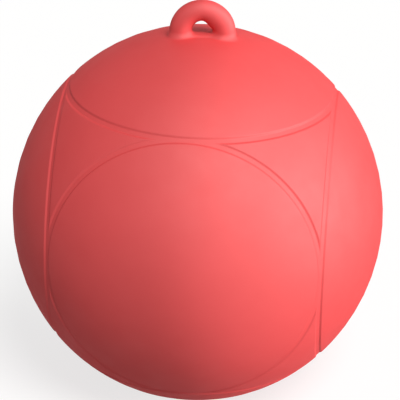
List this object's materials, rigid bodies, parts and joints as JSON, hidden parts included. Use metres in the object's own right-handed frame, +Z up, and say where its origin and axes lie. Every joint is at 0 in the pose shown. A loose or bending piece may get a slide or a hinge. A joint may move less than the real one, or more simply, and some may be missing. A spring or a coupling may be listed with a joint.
{
  "type": "slalom buoy",
  "caption": "Inflated soft-vinyl slalom buoy: a ball with round raised panels parted by recessed channels, a moulded rope eye on top and a flush needle valve below.",
  "frame": {"origin": "lowest point of the ball, at the valve's face, under the middle of the bounding box", "axes": "+Z up from the valve's pole through the top pole that carries the eye; -Y out of the front panel and along the eye's hole; +X to the right seen from the front"},
  "size_m": [0.2032, 0.2032, 0.227],
  "materials": {
    "vinyl": "satin coral-red soft vinyl with a fine moulded grain",
    "valve": "dark moulded rubber"
  },
  "bodies": {
    "root": {"buoy_body": "vinyl", "valve_plug": "valve"}
  },
  "joints": []
}
